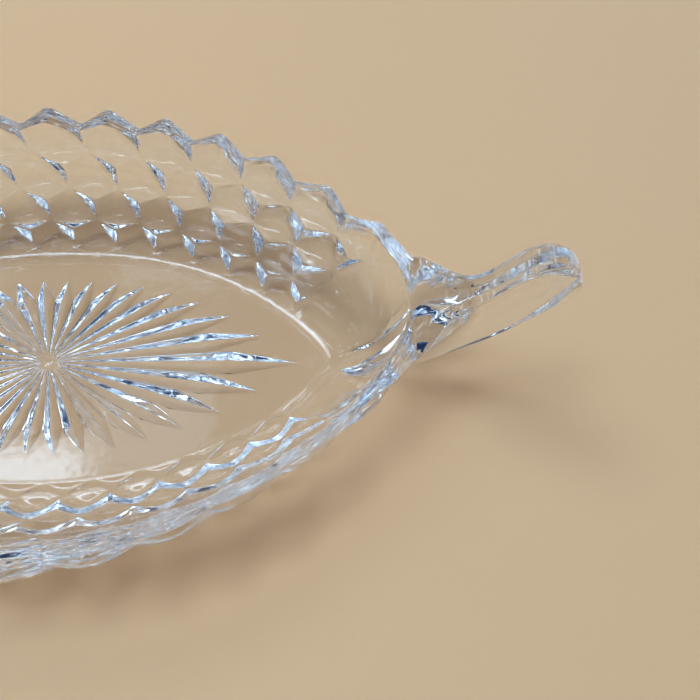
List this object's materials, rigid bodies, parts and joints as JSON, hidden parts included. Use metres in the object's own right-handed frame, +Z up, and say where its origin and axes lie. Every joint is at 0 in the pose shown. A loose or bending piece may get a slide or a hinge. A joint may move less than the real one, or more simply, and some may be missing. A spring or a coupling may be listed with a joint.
{
  "type": "relish tray",
  "caption": "Boat-shaped pressed-glass relish tray: pointed oval bowl with saw-tooth rim, stacked-diamond relief outside, star under the floor and an upswept solid handle at each end.",
  "frame": {"origin": "on the table, under the middle of the floor", "axes": "+X along the tray to the right-hand handle, +Y to the back, +Z up"},
  "size_m": [0.3054, 0.1426, 0.0605],
  "materials": {
    "glass": "clear, fire-polished pressed glass"
  },
  "bodies": {
    "root": {"tray_floor": "glass", "front_wall": "glass", "back_wall": "glass", "handle_right": "glass", "handle_left": "glass"}
  },
  "joints": []
}
